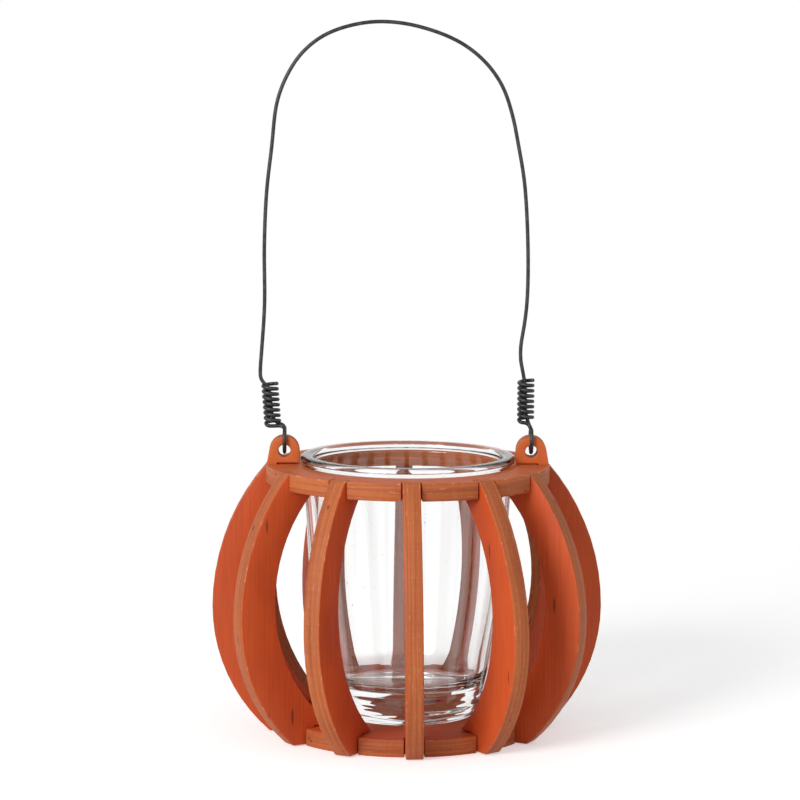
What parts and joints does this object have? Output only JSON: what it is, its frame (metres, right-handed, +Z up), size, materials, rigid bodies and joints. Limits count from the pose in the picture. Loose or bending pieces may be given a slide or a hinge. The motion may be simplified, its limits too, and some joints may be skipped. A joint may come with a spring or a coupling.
{
  "type": "hanging lantern",
  "caption": "Round tealight lantern: a cage of curved plywood ribs on a ring and a disc, a drop-in glass cup and a hinged wire bail to hang it by.",
  "frame": {"origin": "on the table, under the middle of the cage", "axes": "+Z up; the two ears and the bail's hinge line lie along X; -Y is the front"},
  "size_m": [0.1346, 0.1346, 0.2454],
  "materials": {
    "stained_plywood": "orange-red stain, satin",
    "clear_glass": "clear pressed glass",
    "annealed_wire": "black annealed steel wire, soft sheen"
  },
  "bodies": {
    "cage": {"top_ring": "stained_plywood", "bottom_disc": "stained_plywood", "ear_rib_left": "stained_plywood", "ear_rib_right": "stained_plywood", "rib_01": "stained_plywood", "rib_02": "stained_plywood", "rib_03": "stained_plywood", "rib_04": "stained_plywood", "rib_05": "stained_plywood", "rib_06": "stained_plywood", "rib_07": "stained_plywood", "rib_08": "stained_plywood", "rib_09": "stained_plywood", "rib_10": "stained_plywood"},
    "cup": {"glass_cup": "clear_glass"},
    "bail": {"wire_bail": "annealed_wire"}
  },
  "joints": [
    {"name": "bail_swing", "type": "hinge", "parent": "cage", "child": "bail", "pos_m": [0, 0, 0.10165], "axis": [1, 0, 0], "range_deg": [-100, 100]},
    {"name": "cup_lift", "type": "slide", "parent": "cage", "child": "cup", "axis": [0, 0, 1], "range_m": [0, 0.09]}
  ]
}
